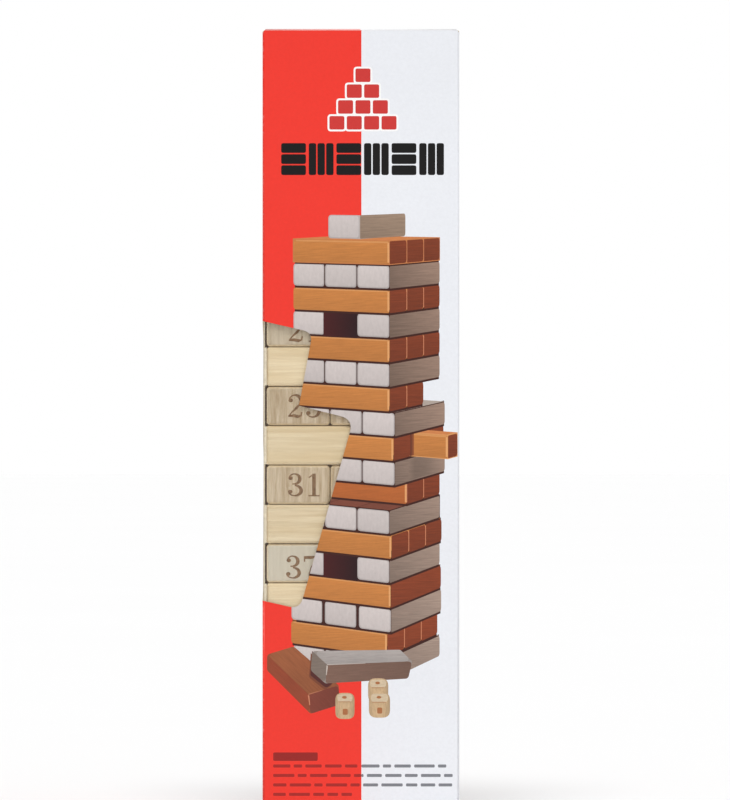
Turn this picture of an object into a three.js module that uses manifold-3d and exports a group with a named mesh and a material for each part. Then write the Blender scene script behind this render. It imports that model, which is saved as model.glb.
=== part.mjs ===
// A boxed table-top tumbling tower: a lift-off paperboard cover with a die-cut window, over a
// stepped base that carries fifty-four numbered wooden blocks in eighteen crossed layers, with
// three dice lying on top. Millimetres, +Z up, -Y is the front with the window on its left.
// The origin is the middle of the base's underside.
import * as THREE from "three";
import { ConvexGeometry } from "three/addons/geometries/ConvexGeometry.js";
import { RoundedBoxGeometry } from "three/addons/geometries/RoundedBoxGeometry.js";
import { mergeVertices } from "three/addons/utils/BufferGeometryUtils.js";
import Module from "manifold-3d";

const manifold = await Module();
manifold.setup();

// Wooden blocks, three to a layer, every layer turned a quarter from the one below.
const BLOCK = { length: 74.0, width: 24.65, height: 15.1, edge: 0.9 };
const LAYERS = 18;
const PER_LAYER = 3;
const COLUMN_GAP = 0.3;
const LAYER_GAP = 0.3;
// This layer, counted up from the table, went in with its numbers running the other way.
const REVERSED_LAYER = 12;
// Layers lie a little off the carton's middle, and each block a little out of line by its number.
const END_ON_LAYER_SHIFT = 0.4;
const SIDE_ON_LAYER_SHIFT = -0.3;
const OUT_OF_LINE = { most: 0.3, turn: 2.4 };

// Paperboard cover, open at the bottom. An outer flap closes its top over two side flaps, and
// its tongue is glued down behind the front wall.
const CARTON = { side: 77.0, top: 309.0, board: 0.45, rimGap: 0.3 };
const TOP_SIDE_FLAP = 30.0;
const TONGUE = { depth: 14.0, inset: 1.5 };
const GLUE_FLAP = { width: 12.0, aboveBase: 2.0, belowTop: 4.0 };

// Base: a flange that the cover stands on, and a plug that fills the cover's mouth under the tower.
const BASE = { flange: 6.0, top: 15.0, plugClearance: 0.35 };

// Clear film behind the window, folded once at the carton's corner.
const FILM = { thickness: 0.2, gap: 0.1, margin: 6.0 };

// Dice on the top layer, in lanes across the carton, each lying turned its own way.
const DIE = { side: 14.0, radius: 2.0, segments: 2, lane: 24.0, fromBack: 5.0 };
const DIE_TURNS_DEGREES = [8, -14, 21];

// The window's corners on the two panels that it crosses: distance from the carton's front left
// edge, height above the table, and the radius that the corner is cut with.
const FRONT_WINDOW = [
  { across: 0, up: 194.7, radius: 0 },
  { across: 19.6, up: 190.2, radius: 4.0 },
  { across: 14.3, up: 161.6, radius: 0 },
  { across: 35.6, up: 156.2, radius: 5.0 },
  { across: 14.6, up: 82.0, radius: 4.5 },
  { across: 0, up: 85.3, radius: 0 },
];
const SIDE_WINDOW = [
  { across: 0, up: 194.7, radius: 0 },
  { across: 24.0, up: 188.0, radius: 4.5 },
  { across: 18.0, up: 148.0, radius: 0 },
  { across: 29.0, up: 141.0, radius: 5.0 },
  { across: 17.0, up: 89.5, radius: 4.5 },
  { across: 0, up: 85.3, radius: 0 },
];
const ARC_STEPS = 6;
const CUTTER_MARGIN = 1.0;
const QUARTER_TURN = Math.PI / 2;

const HALF_SIDE = CARTON.side / 2;
const INNER_HALF = HALF_SIDE - CARTON.board;
const RIM = BASE.flange + CARTON.rimGap;
const COLUMN_PITCH = BLOCK.width + COLUMN_GAP;
const LAYER_PITCH = BLOCK.height + LAYER_GAP;
const TOWER_BOTTOM = BASE.top + LAYER_GAP;
const TOWER_TOP = TOWER_BOTTOM + LAYERS * LAYER_PITCH - LAYER_GAP;

const BOARD = new THREE.MeshStandardMaterial({ color: 0xeb3a2b, roughness: 0.45, metalness: 0 });
const GREYBOARD = new THREE.MeshStandardMaterial({ color: 0xb9aa94, roughness: 0.9, metalness: 0 });
const WOOD = new THREE.MeshStandardMaterial({ color: 0xdccfb0, roughness: 0.65, metalness: 0 });
const DIE_WOOD = new THREE.MeshStandardMaterial({ color: 0xe6cfa4, roughness: 0.5, metalness: 0 });
const CLEAR_FILM = new THREE.MeshStandardMaterial({
  color: 0xf4f7f8,
  roughness: 0.08,
  metalness: 0,
  transparent: true,
  opacity: 0.25,
});

// A manifold solid from a closed three.js geometry.
function toSolid(geometry) {
  const bare = new THREE.BufferGeometry();
  bare.setAttribute("position", geometry.attributes.position);
  bare.setIndex(geometry.index);
  const joined = mergeVertices(bare);
  return new manifold.Manifold(
    new manifold.Mesh({
      numProp: 3,
      vertProperties: joined.attributes.position.array,
      triVerts: new Uint32Array(joined.index.array),
    }),
  );
}

// A three.js geometry from a manifold solid.
function toGeometry(solid) {
  const mesh = solid.getMesh();
  const geometry = new THREE.BufferGeometry();
  geometry.setAttribute("position", new THREE.BufferAttribute(mesh.vertProperties, mesh.numProp));
  geometry.setIndex(new THREE.BufferAttribute(mesh.triVerts, 1));
  geometry.computeVertexNormals();
  return geometry;
}

// A box between two corners, as a manifold solid.
function boxBetween(low, high) {
  const size = high.map((value, i) => value - low[i]);
  const middle = high.map((value, i) => (value + low[i]) / 2);
  return toSolid(new THREE.BoxGeometry(...size).translate(...middle));
}

// A closed outline with each corner that has a radius rounded by a curve.
function roundedOutline(corners) {
  const at = (i) => {
    const corner = corners[(i + corners.length) % corners.length];
    return new THREE.Vector2(corner.across, corner.up);
  };
  return corners.flatMap((corner, i) => {
    if (corner.radius === 0) {
      return [at(i)];
    }
    const back = at(i - 1).sub(at(i)).normalize();
    const ahead = at(i + 1).sub(at(i)).normalize();
    const reach = corner.radius / Math.tan(back.angleTo(ahead) / 2);
    const from = at(i).addScaledVector(back, reach);
    const to = at(i).addScaledVector(ahead, reach);
    return new THREE.QuadraticBezierCurve(from, at(i), to).getPoints(ARC_STEPS);
  });
}

// A window's outline, carried past the carton's corner, as a cutter lying in the X-Z plane. Its
// outer side faces -Y, and it reaches through one thickness of board.
function windowCutter(corners) {
  const pastCorner = [corners.at(-1), corners[0]].map((corner) => ({
    across: -CUTTER_MARGIN,
    up: corner.up,
    radius: 0,
  }));
  const shape = new THREE.Shape(roundedOutline([...corners, ...pastCorner]));
  const depth = CUTTER_MARGIN + CARTON.board + FILM.gap / 2;
  const geometry = new THREE.ExtrudeGeometry(shape, { depth, bevelEnabled: false });
  geometry.rotateX(QUARTER_TURN);
  return geometry.translate(-HALF_SIDE, -HALF_SIDE - CUTTER_MARGIN + depth, 0);
}

// The cover: four walls and a top, folded from one sheet, with the window cut over the corner.
function cartonCover() {
  const innerTop = CARTON.top - CARTON.board;
  const flapUnder = innerTop - CARTON.board;
  const outside = boxBetween([-HALF_SIDE, -HALF_SIDE, RIM], [HALF_SIDE, HALF_SIDE, CARTON.top]);
  const inside = boxBetween(
    [-INNER_HALF, -INNER_HALF, RIM - CUTTER_MARGIN],
    [INNER_HALF, INNER_HALF, innerTop],
  );
  const leftFlap = boxBetween(
    [-INNER_HALF - CARTON.board / 2, -INNER_HALF - CARTON.board / 2, flapUnder],
    [-INNER_HALF + TOP_SIDE_FLAP, INNER_HALF + CARTON.board / 2, innerTop + CARTON.board / 2],
  );
  const rightFlap = leftFlap.mirror([1, 0, 0]);
  const tongue = boxBetween(
    [-INNER_HALF + TONGUE.inset, -INNER_HALF - CARTON.board / 2, innerTop - TONGUE.depth],
    [INNER_HALF - TONGUE.inset, -INNER_HALF + CARTON.board, innerTop + CARTON.board / 2],
  );
  const glueFlap = boxBetween(
    [INNER_HALF - GLUE_FLAP.width, INNER_HALF - CARTON.board, BASE.top + GLUE_FLAP.aboveBase],
    [INNER_HALF + CARTON.board / 2, INNER_HALF + CARTON.board / 2, CARTON.top - GLUE_FLAP.belowTop],
  );
  // The side panel's cutter is made for the front and turned onto the left panel, where distance
  // from the corner runs backwards, so it is mirrored first.
  const frontCut = toSolid(windowCutter(FRONT_WINDOW));
  const sideCut = toSolid(windowCutter(SIDE_WINDOW)).mirror([1, 0, 0]).rotate([0, 0, -90]);
  const flaps = leftFlap.add(rightFlap).add(tongue).add(glueFlap);
  return toGeometry(outside.subtract(inside).add(flaps).subtract(frontCut).subtract(sideCut));
}

// The film: an L in plan, reaching past the window on both panels and above and below it.
function windowFilm() {
  const outer = -INNER_HALF + FILM.gap;
  const inner = outer + FILM.thickness;
  const widest = (corners) => Math.max(...corners.map((corner) => corner.across));
  const heights = [...FRONT_WINDOW, ...SIDE_WINDOW].map((corner) => corner.up);
  const frontEnd = -HALF_SIDE + widest(FRONT_WINDOW) + FILM.margin;
  const sideEnd = -HALF_SIDE + widest(SIDE_WINDOW) + FILM.margin;
  const bottom = Math.min(...heights) - FILM.margin;
  const top = Math.max(...heights) + FILM.margin;
  const plan = new THREE.Shape([
    new THREE.Vector2(outer, outer),
    new THREE.Vector2(frontEnd, outer),
    new THREE.Vector2(frontEnd, inner),
    new THREE.Vector2(inner, inner),
    new THREE.Vector2(inner, sideEnd),
    new THREE.Vector2(outer, sideEnd),
  ]);
  const geometry = new THREE.ExtrudeGeometry(plan, { depth: top - bottom, bevelEnabled: false });
  return geometry.translate(0, 0, bottom);
}

// The base: a square flange with a smaller square plug standing on it.
function basePlinth() {
  const plug = INNER_HALF - BASE.plugClearance;
  const flange = boxBetween([-HALF_SIDE, -HALF_SIDE, 0], [HALF_SIDE, HALF_SIDE, BASE.flange]);
  return toGeometry(flange.add(boxBetween([-plug, -plug, 0], [plug, plug, BASE.top])));
}

// One block along X, centred on its own middle, with its twelve edges eased.
function blockGeometry() {
  const half = [BLOCK.length / 2, BLOCK.width / 2, BLOCK.height / 2];
  const points = [];
  for (const full of [0, 1, 2]) {
    const reach = half.map((value, i) => (i === full ? value : value - BLOCK.edge));
    for (const x of [-1, 1]) {
      for (const y of [-1, 1]) {
        for (const z of [-1, 1]) {
          points.push(new THREE.Vector3(x * reach[0], y * reach[1], z * reach[2]));
        }
      }
    }
  }
  return new ConvexGeometry(points);
}

function namedMesh(name, geometry, material) {
  const mesh = new THREE.Mesh(geometry, material);
  mesh.name = name;
  return mesh;
}

// A layer's three blocks. Numbers run down from the top of the tower, left to right in the layers
// that show their ends to the front and front to back in the others.
function layerGroup(layer, geometry) {
  const group = new THREE.Group();
  const endOn = layer % 2 === 0;
  for (let place = 0; place < PER_LAYER; place += 1) {
    const number = (LAYERS - layer) * PER_LAYER + place + 1;
    const middle = (PER_LAYER - 1) / 2;
    const order = layer === REVERSED_LAYER ? middle - place : place - middle;
    const along = OUT_OF_LINE.most * Math.sin(OUT_OF_LINE.turn * number);
    const name = `block_${String(number).padStart(2, "0")}`;
    const block = namedMesh(name, geometry, WOOD);
    block.rotation.z = endOn ? QUARTER_TURN : 0;
    block.position.set(
      endOn ? order * COLUMN_PITCH + END_ON_LAYER_SHIFT : along + SIDE_ON_LAYER_SHIFT,
      endOn ? along : order * COLUMN_PITCH,
      0,
    );
    group.add(block);
  }
  group.position.z = TOWER_BOTTOM + (layer - 1) * LAYER_PITCH + BLOCK.height / 2;
  return group;
}

function tower() {
  const group = new THREE.Group();
  const geometry = blockGeometry();
  for (let layer = 1; layer <= LAYERS; layer += 1) {
    group.add(layerGroup(layer, geometry));
  }
  return group;
}

// The dice, side by side near the back of the tower's top layer.
function dice() {
  const group = new THREE.Group();
  const geometry = new RoundedBoxGeometry(DIE.side, DIE.side, DIE.side, DIE.segments, DIE.radius);
  const middle = (DIE_TURNS_DEGREES.length - 1) / 2;
  DIE_TURNS_DEGREES.forEach((turn, i) => {
    const die = namedMesh(`die_${i + 1}`, geometry, DIE_WOOD);
    die.rotation.z = THREE.MathUtils.degToRad(turn);
    die.position.x = (i - middle) * DIE.lane;
    group.add(die);
  });
  group.position.y = INNER_HALF - DIE.fromBack - DIE.side / 2;
  group.position.z = TOWER_TOP + LAYER_GAP + DIE.side / 2;
  return group;
}

const boxedTower = new THREE.Group();
boxedTower.add(
  namedMesh("carton_cover", cartonCover(), BOARD),
  namedMesh("window_film", windowFilm(), CLEAR_FILM),
  namedMesh("base_plinth", basePlinth(), GREYBOARD),
  tower(),
  dice(),
);

export default boxedTower;
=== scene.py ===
import itertools
import math

import bmesh
import bpy
from mathutils import Matrix, Vector
from mathutils.geometry import delaunay_2d_cdt


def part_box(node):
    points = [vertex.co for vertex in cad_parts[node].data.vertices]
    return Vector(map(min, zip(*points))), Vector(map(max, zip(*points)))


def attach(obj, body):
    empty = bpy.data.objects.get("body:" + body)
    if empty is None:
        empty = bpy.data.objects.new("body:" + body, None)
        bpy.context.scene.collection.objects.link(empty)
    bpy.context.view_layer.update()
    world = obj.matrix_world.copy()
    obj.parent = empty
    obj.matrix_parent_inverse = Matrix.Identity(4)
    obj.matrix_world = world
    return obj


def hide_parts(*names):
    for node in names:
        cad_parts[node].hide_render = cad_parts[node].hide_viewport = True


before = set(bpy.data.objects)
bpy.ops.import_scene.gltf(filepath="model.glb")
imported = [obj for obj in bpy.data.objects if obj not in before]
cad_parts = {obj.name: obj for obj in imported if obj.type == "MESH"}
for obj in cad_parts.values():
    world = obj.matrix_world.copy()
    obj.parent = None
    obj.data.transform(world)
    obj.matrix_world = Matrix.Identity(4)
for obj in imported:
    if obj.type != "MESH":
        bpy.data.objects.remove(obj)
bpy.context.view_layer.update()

MM = 0.001


def box_mm(node):
    """A CAD node's lowest and highest corners, in millimetres."""
    return [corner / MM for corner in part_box(node)]


# The carton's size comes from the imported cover.
COVER_LOW, COVER_HIGH = box_mm("carton_cover")
SIDE = COVER_HIGH.x - COVER_LOW.x
HALF = SIDE / 2
RIM = COVER_LOW.z
TOP = COVER_HIGH.z

# Paperboard: its thickness, the outer radius of its folds, and the gap between two layers.
BOARD = 0.45
FOLD = 0.8
LAYER_GAP = 0.05
FOLD_STEPS = 6
SIDE_FLAP = 30.0
SIDE_FLAP_TAPER = 4.0
TONGUE = 14.0
TONGUE_TAPER = 6.0
GLUE_FLAP = (17.0, 305.0)
GLUE_FLAP_WIDTH = 12.0
GLUE_FLAP_TAPER = 5.0
CUT_EDGE_GAP = 0.3

# The die-cut window, as in the part: distance around from the front left edge, height, radius.
WINDOW = [
    (19.6, 190.2, 4.0),
    (14.3, 161.6, 0),
    (35.6, 156.2, 5.0),
    (14.6, 82.0, 4.5),
    (0, 85.3, 0),
    (-17.0, 89.5, 4.5),
    (-29.0, 141.0, 5.0),
    (-18.0, 148.0, 0),
    (-24.0, 188.0, 4.5),
    (0, 194.7, 0),
]

# Where the front's two grounds meet, around from the front left edge.
SPLIT = 38.7


# ---------------------------------------------------------------- colours and small helpers

def linear(r, g, b):
    """A display colour from 0 to 255 as linear light."""
    return tuple(
        (c / 255 / 12.92) if c / 255 <= 0.04045 else ((c / 255 + 0.055) / 1.055) ** 2.4
        for c in (r, g, b)
    )


def clamped(value):
    return min(max(value, 0), 1)


def mixed(a, b, amount):
    return tuple(x + (y - x) * amount for x, y in zip(a, b))


def scaled(colour, factor):
    return tuple(c * factor for c in colour)


RED = linear(240, 52, 38)
PALE = linear(234, 236, 241)
BLACK = linear(6, 3, 3)
WHITE = linear(250, 249, 248)
MARK_RED = linear(206, 52, 48)
SMALL_ON_RED = linear(166, 34, 28)
SMALL_ON_PALE = linear(126, 128, 134)
GAP_BROWN = linear(62, 24, 14)
HOLE = linear(70, 14, 16)
HOLE_DEEP = linear(38, 8, 14)
BROWN = {
    "left": linear(196, 125, 62),
    "right": linear(124, 54, 26),
    "top": linear(206, 128, 74),
    "edge": linear(232, 170, 112),
    "far": 1.05,
}
GREY = {
    "left": linear(203, 193, 190),
    "right": linear(120, 98, 85),
    "top": linear(172, 158, 148),
    "edge": linear(226, 216, 208),
    "far": 1.7,
}
GREY_LOW = {"right": linear(140, 121, 109), "far": 1.42}
TOP_GREY = dict(GREY, right=linear(148, 125, 106), far=1.1)
SHADED_TOP = linear(122, 66, 50)
SHADED_LEFT = linear(184, 100, 46)
GAP_SIDE = linear(64, 28, 20)
LOOSE_BROWN = {
    "top": linear(152, 88, 54),
    "side": linear(146, 68, 42),
    "end": linear(124, 60, 46),
    "edge": linear(206, 134, 100),
    "shadow": linear(84, 38, 34),
}
LOOSE_GREY = {
    "top": linear(168, 160, 156),
    "side": linear(126, 112, 102),
    "end": linear(121, 92, 79),
    "edge": linear(196, 184, 174),
}


def wave(number):
    """A fixed spread of values from -1 to 1, one for each number."""
    return math.sin(2.4 * number + 0.7 * math.cos(number))


def arc(centre, radii, start, end, steps):
    """Points along an ellipse from one angle to another, in degrees."""
    points = []
    for i in range(steps + 1):
        angle = math.radians(start + (end - start) * i / steps)
        x, y = radii[0] * math.cos(angle), radii[1] * math.sin(angle)
        points.append((centre[0] + x, centre[1] + y))
    return points


def rounded(corners, steps):
    """A closed outline through (x, y, radius) corners, each rounded by a curve."""
    outline = []
    for i, (x, y, radius) in enumerate(corners):
        here = Vector((x, y))
        if radius == 0:
            outline.append(tuple(here))
            continue
        back = (Vector(corners[i - 1][:2]) - here).normalized()
        ahead = (Vector(corners[(i + 1) % len(corners)][:2]) - here).normalized()
        reach = radius / math.tan(back.angle(ahead) / 2)
        start, end = here + back * reach, here + ahead * reach
        for k in range(steps + 1):
            s = k / steps
            outline.append(tuple(start * (1 - s) ** 2 + here * 2 * s * (1 - s) + end * s * s))
    return outline


def rounded_box(x0, y0, x1, y1, radius, steps):
    radius = min(radius, 0.45 * (x1 - x0), 0.45 * (y1 - y0))
    return rounded([(x0, y0, radius), (x1, y0, radius), (x1, y1, radius), (x0, y1, radius)], steps)


def triangulated(outlines, lines=()):
    """Flat points, triangles, and which outlines each triangle lies in. Outlines may overlap."""
    points, edges, faces = [], [], []
    for outline in outlines:
        turn = sum(a[0] * b[1] - b[0] * a[1] for a, b in zip(outline, outline[1:] + outline[:1]))
        start = len(points)
        points += [Vector(p) for p in (outline if turn > 0 else outline[::-1])]
        faces.append(list(range(start, len(points))))
    for line in lines:
        edges.append((len(points), len(points) + 1))
        points += [Vector(p) for p in line]
    flat, _, tris, _, _, owners = delaunay_2d_cdt(points, edges, faces, 0, 1e-5, True)
    return flat, tris, owners


# ---------------------------------------------------------------- print: what the carton shows

def area(points, ink, grain=None, strength=0.0):
    """One printed area: an outline on the net, its ink, and its wood grain's coordinates. An ink is
    a colour or a function of a point."""
    return {"points": points, "ink": ink, "grain": grain, "strength": strength}


def box_area(x0, y0, x1, y1, radius, ink, steps=2):
    return area(rounded_box(x0, y0, x1, y1, radius, steps), ink)


def gradient(axis, start, end, first, last):
    """An ink that changes from first to last between two places along X (0) or Y (1)."""
    return lambda point: mixed(first, last, clamped((point[axis] - start) / (end - start)))


# The printed tower is seen by a level pinhole eye: the near edge's distance, the eye's height over
# the tower's foot, the turn of the tower, how much deeper than square its left side runs, and the
# print's scale and place on the panel.
EYE_DISTANCE = 1342.0
EYE_HEIGHT = 340.0
TURN = math.radians(28.0)
LEFT_DEPTH = 1.1
PRINT_SCALE = 789.0
NEAR_EDGE = 49.7
HORIZON = 253.3
ALONG_LEFT = Vector((-math.cos(TURN), LEFT_DEPTH * math.sin(TURN)))
ALONG_RIGHT = Vector((math.sin(TURN), math.cos(TURN)))
# A printed block's height, length and width, and the tower's number of layers.
RISE = 16.33
LONG = 75.0
WIDE = 25.0
PRINTED_LAYERS = 18


def on_panel(plan, height):
    """Where a point of the printed scene falls on the panel."""
    depth = EYE_DISTANCE + plan.y
    return (
        NEAR_EDGE + PRINT_SCALE * plan.x / depth,
        HORIZON + PRINT_SCALE * (height - EYE_HEIGHT) / depth,
    )


def upright_area(start, along, base, span, rise, ink, grain=None, strength=0.0):
    """A plain upright area of the printed scene: its span along from a start, and its rise."""
    (near, far), (low, high) = span, rise
    ends = ((near, low), (far, low), (far, high), (near, high))
    return area([on_panel(start + along * a, base + h) for a, h in ends], ink, grain, strength)


def grain_of(across, up, start=(0.0, 0.0), upright=False):
    """Grain coordinates: a scale across and up the panel, or up and across if it is upright."""
    def grain(point):
        x, y = reversed(point) if upright else point
        return (x * across + start[0], y * up + start[1])

    return grain


# A face is darker at its foot: its tone there, and how much lighter it is at its top.
FOOT_TONE = 0.9
TONE_RISE = 0.16


def face_shade(corner, edge, base, height, ink, far_tone):
    """The ink over an upright face: darker low down, and changing to far_tone at its far end."""
    near_low, near_high = on_panel(corner, base), on_panel(corner, base + height)
    far_low, far_high = on_panel(corner + edge, base), on_panel(corner + edge, base + height)

    def shade(point):
        s = (point[0] - near_low[0]) / (far_low[0] - near_low[0])
        low = near_low[1] + (far_low[1] - near_low[1]) * s
        high = near_high[1] + (far_high[1] - near_high[1]) * s
        rise = clamped((point[1] - low) / (high - low))
        return scaled(ink, (1 + (far_tone - 1) * clamped(s)) * (FOOT_TONE + TONE_RISE * rise))

    return shade


# A face stands back from its block's outline, less so at its near side.
FACE_INSET = 0.55
NEAR_INSET = 0.22
# Grain on a long side: its scales, its slope, and where it starts for each seed.
SIDE_GRAIN = (0.1, 1.9)
GRAIN_SLOPE = 0.1
SIDE_START = 7.3
# The strips of light down a long side's near edge and along its top: where each lies, the radius of
# its corners, how lit it is, and its grain's strength.
LIT_SIDE = (1.6, 0.5, 0.8, 0.4)
LIT_TOP = (1.3, 0.2, 0.4, 0.4, 0.6)
# Grain on a block's end, and the darker border round it: its tone, and its width before, under and
# over the end.
END_GRAIN = (0.35, 0.9)
END_START = (5.1, 2.7)
END_STRENGTH = 0.4
END_BORDER = (0.5, 0.8, 0.6)
END_BORDER_TONE = 0.8


def printed_face(corner, edge, base, height, ink, radii, seed, edge_ink=None, along=True,
                 far_tone=1.0, strength=1.0):
    """An upright face from a near corner along an edge: rounded, shaded, and with lit strips down
    its near side and along its top if edge_ink is given."""
    length = edge.length
    step = edge / length
    near, far = radii

    def outline(x0, y0, x1, y1, near_r, far_r):
        corners = [(x0, y0, near_r), (x1, y0, far_r), (x1, y1, far_r), (x0, y1, near_r)]
        return [on_panel(corner + step * x, base + y) for x, y in rounded(corners, 4)]

    start = on_panel(corner, base)[0]

    def sloping(point):
        x, y = point[0] * SIDE_GRAIN[0], point[1] * SIDE_GRAIN[1]
        return (x + seed * SIDE_START, y - (point[0] - start) * GRAIN_SLOPE + seed)

    shade = face_shade(corner, edge, base, height, ink, far_tone)
    top = height - FACE_INSET
    face = outline(NEAR_INSET, FACE_INSET, length - FACE_INSET, top, near, far)
    if not along:
        grain = grain_of(*END_GRAIN, scaled(END_START, seed), upright=True)
        before, under, over = END_BORDER
        x1 = length - FACE_INSET - under
        inner = outline(FACE_INSET + before, FACE_INSET + under, x1, top - over, near, far)
        border = area(face, lambda p: scaled(shade(p), END_BORDER_TONE), grain, END_STRENGTH)
        return [border, area(inner, shade, grain, END_STRENGTH)]
    areas = [area(face, shade, sloping, strength)]
    if edge_ink is not None:
        reach, radius, lit, amount = LIT_SIDE
        down = outline(NEAR_INSET, FACE_INSET + near, reach, top - near, radius, radius)
        areas.append(area(down, mixed(ink, edge_ink, lit), sloping, amount))
        low, high, radius, lit, amount = LIT_TOP
        over = outline(near, top - low, length - far, top - high, radius, radius)
        areas.append(area(over, mixed(ink, edge_ink, lit), sloping, amount))
    return areas


# A top face stands back from its block's outline, and has its own grain and grain strength.
TOP_INSET = 0.9
TOP_GRAIN = (0.3, 2.0)
TOP_STRENGTH = 0.7


def printed_top(corner, left, right, level, ink, seed):
    """A block's top face, seen as a sliver from an eye a little above it."""
    corners = [corner, corner + right, corner + right + left, corner + left]
    inward = [(left + right), (left - right), -(left + right), (right - left)]
    points = [on_panel(c + d.normalized() * TOP_INSET, level) for c, d in zip(corners, inward)]
    return area(points, ink, grain_of(*TOP_GRAIN, (seed, 0)), TOP_STRENGTH)


# How far blocks differ in tone, and the radii of a long side, an end, and any face on the right.
TONE_SPREAD = 0.04
ROUND_SIDE = (1.0, 2.4)
ROUND_END = (2.0, 2.6)
ROUND_RIGHT = (1.0, 2.6)
RIGHT_STRENGTH = 1.5
RIGHT_SEED = 9
CORNER = Vector((0.0, 0.0))


def printed_block(corner, left, right, base, height, inks, seed, long_left=True, crown=True,
                  rim=None):
    """A block in the printed scene: its rim and top, then its left and right faces over them."""
    tone = 1 + TONE_SPREAD * wave(seed)
    top = base + height
    areas = []
    if rim is not None:
        plan = ((left, base), (CORNER, base), (right, base), (right, top), (left + right, top),
                (left, top))
        areas.append(area([on_panel(corner + step, level) for step, level in plan], rim))
    if crown:
        areas.append(printed_top(corner, left, right, top, scaled(inks["top"], tone), seed))
    ink, edge_ink = scaled(inks["left"], tone), inks["edge"] if long_left else None
    radii = ROUND_SIDE if long_left else ROUND_END
    areas += printed_face(corner, left, base, height, ink, radii, seed, edge_ink, along=long_left)
    areas += printed_face(corner, right, base, height, scaled(inks["right"], tone), ROUND_RIGHT,
                          seed + RIGHT_SEED, far_tone=inks["far"], strength=RIGHT_STRENGTH)
    return areas


# Layers counted down from the printed tower's top. Odd layers are brown and show a long side on
# the left; even layers are grey and show three ends there. A place counts from the near edge.
MISSING = {(4, 1), (14, 1), (7, 2), (11, 0)}
# How far a layer is pushed to the left, and how far its ends stand apart.
LAYER_SLIDE = {8: -4.0, 9: -3.0, 10: -4.0, 13: -1.5, 15: -1.0, 16: -1.2, 17: 1.8}
LAYER_SPREAD = {16: 1.4}
# The layer whose right side is one face, the one whose top is in shadow, and how much of the lowest
# layer isn't shown.
JOINED_ENDS = 15
SHADED_LAYER = 12
FOOT_HIDDEN = 1.2
# The block drawn out to the right: its layer and place, how far it is out, and its size there.
PULLED = (9, 1)
PULLED_OUT = 29.4
PULLED_SHIFT = 3.0
PULLED_WIDTH = 15.0
# The right faces get lighter towards the foot: brown ones by a step for each layer under the one
# given here, grey ones over a range of layers.
BROWN_LIGHTER = (13, 0.06)
GREY_LIGHTER = (7, 17)
# Small areas on the tower's right face, as spans from its near edge and rises from a layer's base.
GAP_SPAN = (-0.5, 0.5)
GAP_RISE = (1.6, RISE - 1.4)
GAP_EDGE = linear(204, 128, 92)
STRIP_SPAN = (WIDE - 1, WIDE + 4.6)
STRIP_RISE = (0.6, RISE - 0.6)
STRIP_DARK = linear(86, 36, 24)
STRIP_LIGHT = linear(150, 82, 44)
SHADOW_SPAN = (20, 70)
SHADOW_CORE = (29, 46)
SHADOW_RISE = (1.2, RISE - 1.0)
SHADOW_DEPTH = 0.26
HOLE_OVERLAP = 0.8
HOLE_RISE = (-0.4, RISE + 0.4)
# A layer's dark joints reach under and over it, and end short of its far corners.
CORE_UNDER = 0.9
CORE_OVER = 0.7
CORE_SHORT = 1.6


def layer_inks(layer):
    """A layer's inks, with the right faces lighter towards the tower's foot."""
    if layer % 2:
        start, step = BROWN_LIGHTER
        left = SHADED_LEFT if layer == SHADED_LAYER - 1 else BROWN["left"]
        right = scaled(BROWN["right"], 1 + step * max(0, layer - start))
        return dict(BROWN, left=left, right=right)
    start, end = GREY_LIGHTER
    low = clamped((layer - start) / (end - start))
    inks = dict(GREY, right=mixed(GREY["right"], GREY_LOW["right"], low))
    inks["far"] += (GREY_LOW["far"] - GREY["far"]) * low
    if layer == SHADED_LAYER:
        inks["top"] = SHADED_TOP
    return inks


def grey_block(layer, place, base, height, slide, inks):
    """A block whose end shows on the left. Only the first one's long side shows on the right."""
    corner = ALONG_LEFT * (slide + (WIDE + LAYER_SPREAD.get(layer, 0)) * place)
    own = inks if place == 0 else dict(inks, right=GAP_SIDE, far=1.0)
    rim = GAP_BROWN if layer == SHADED_LAYER else None
    return printed_block(corner, ALONG_LEFT * WIDE, ALONG_RIGHT * LONG, base, height, own,
                         layer * 3 + place, False, rim=rim)


def brown_block(layer, place, base, height, slide, inks):
    """A block whose long side shows on the left, with the gap between its end and the last one."""
    corner = ALONG_LEFT * slide + ALONG_RIGHT * WIDE * place
    width = WIDE if layer != JOINED_ENDS else LONG
    rim = scaled(BROWN["top"], 0.9) if layer == 1 else None
    areas = printed_block(corner, ALONG_LEFT * LONG, ALONG_RIGHT * width, base, height, inks,
                          layer * 3 + place, rim=rim)
    if place > 0:
        areas.append(upright_area(corner, ALONG_RIGHT, base, GAP_SPAN, GAP_RISE, GAP_EDGE))
    return areas


def drawn_out_block(layer, place, base, height, slide, inks):
    """The block drawn out to the right, and the dark strip beside it where it leaves the tower."""
    corner = ALONG_RIGHT * (WIDE * place + PULLED_SHIFT) - ALONG_LEFT * PULLED_OUT
    rim = mixed(BROWN["left"], BROWN["edge"], 0.5)
    areas = printed_block(corner, ALONG_LEFT * LONG, ALONG_RIGHT * PULLED_WIDTH, base, height, inks,
                          layer * 3 + place, rim=rim)
    start = ALONG_LEFT * slide
    edges = (on_panel(start + ALONG_RIGHT * a, base + STRIP_RISE[0])[0] for a in STRIP_SPAN)
    shade = gradient(0, *edges, STRIP_DARK, STRIP_LIGHT)
    return areas + [upright_area(start, ALONG_RIGHT, base, STRIP_SPAN, STRIP_RISE, shade)]


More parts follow.
